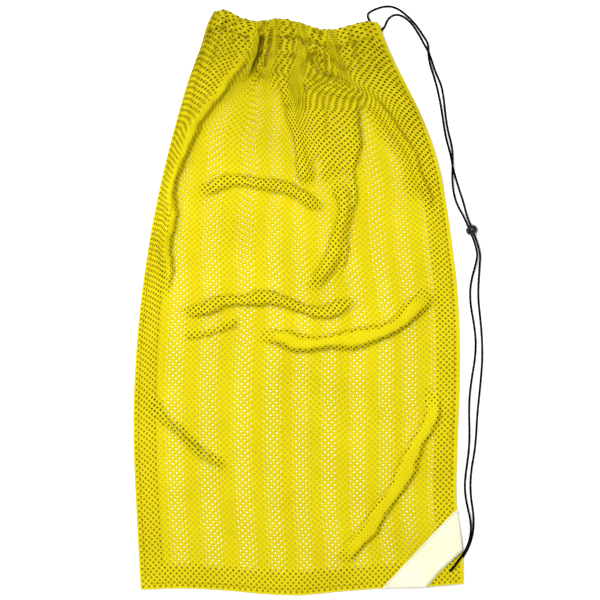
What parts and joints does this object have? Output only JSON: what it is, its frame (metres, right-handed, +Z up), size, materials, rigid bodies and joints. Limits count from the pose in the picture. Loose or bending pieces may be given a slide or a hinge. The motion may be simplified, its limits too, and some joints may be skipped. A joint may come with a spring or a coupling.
{
  "type": "mesh ball bag",
  "caption": "Flat, empty drawstring bag of yellow knitted mesh for carrying balls, with a gathered mouth, a white corner band and a black cord loop with a ball-shaped cord lock.",
  "frame": {"origin": "on the floor, under the middle of the flat bag without its free cord", "axes": "+Z up from the floor, +Y from the bottom seam to the mouth, +X to the side where the cord leaves the mouth"},
  "size_m": [0.4811, 0.8116, 0.0195],
  "materials": {
    "mesh_cloth": "open knitted polyester mesh, slight sheen",
    "hem_cloth": "doubled knitted mesh, gathered",
    "seam_cloth": "folded mesh allowance",
    "seam_thread": "spun polyester thread",
    "band_cloth": "plain woven, matt",
    "band_thread": "spun polyester thread",
    "cord": "braided polyester cord",
    "cord_join": "tight sewn sleeve",
    "lock_plastic": "moulded gloss black",
    "plunger_plastic": "moulded gloss black",
    "spring_steel": "drawn spring wire"
  },
  "bodies": {
    "bag": {"back_mesh_panel": "mesh_cloth", "front_mesh_panel": "mesh_cloth", "back_mouth_hem": "hem_cloth", "front_mouth_hem": "hem_cloth", "left_side_seam": "seam_cloth", "right_side_seam": "seam_cloth", "bottom_seam": "seam_cloth", "left_seam_thread": "seam_thread", "right_seam_thread": "seam_thread", "bottom_seam_thread": "seam_thread", "mouth_hem_thread": "seam_thread", "corner_band": "band_cloth", "corner_band_thread": "band_thread", "drawcord_free_run": "cord", "drawcord_channel_run": "cord", "drawcord_join": "cord_join"},
    "cord_lock": {"cord_lock_body": "lock_plastic", "cord_lock_spring": "spring_steel"},
    "plunger": {"cord_lock_plunger": "plunger_plastic"}
  },
  "joints": [
    {"name": "cord_lock_slide", "type": "slide", "parent": "bag", "child": "cord_lock", "axis": [0.38, -0.925, 0], "range_m": [0, 0.012]},
    {"name": "plunger_press", "type": "slide", "parent": "cord_lock", "child": "plunger", "axis": [0.925, 0.38, 0], "range_m": [0, 0.0022], "stiffness_N_per_m": 600, "springref_m": -0.001, "deforming": ["cord_lock_spring"]}
  ]
}
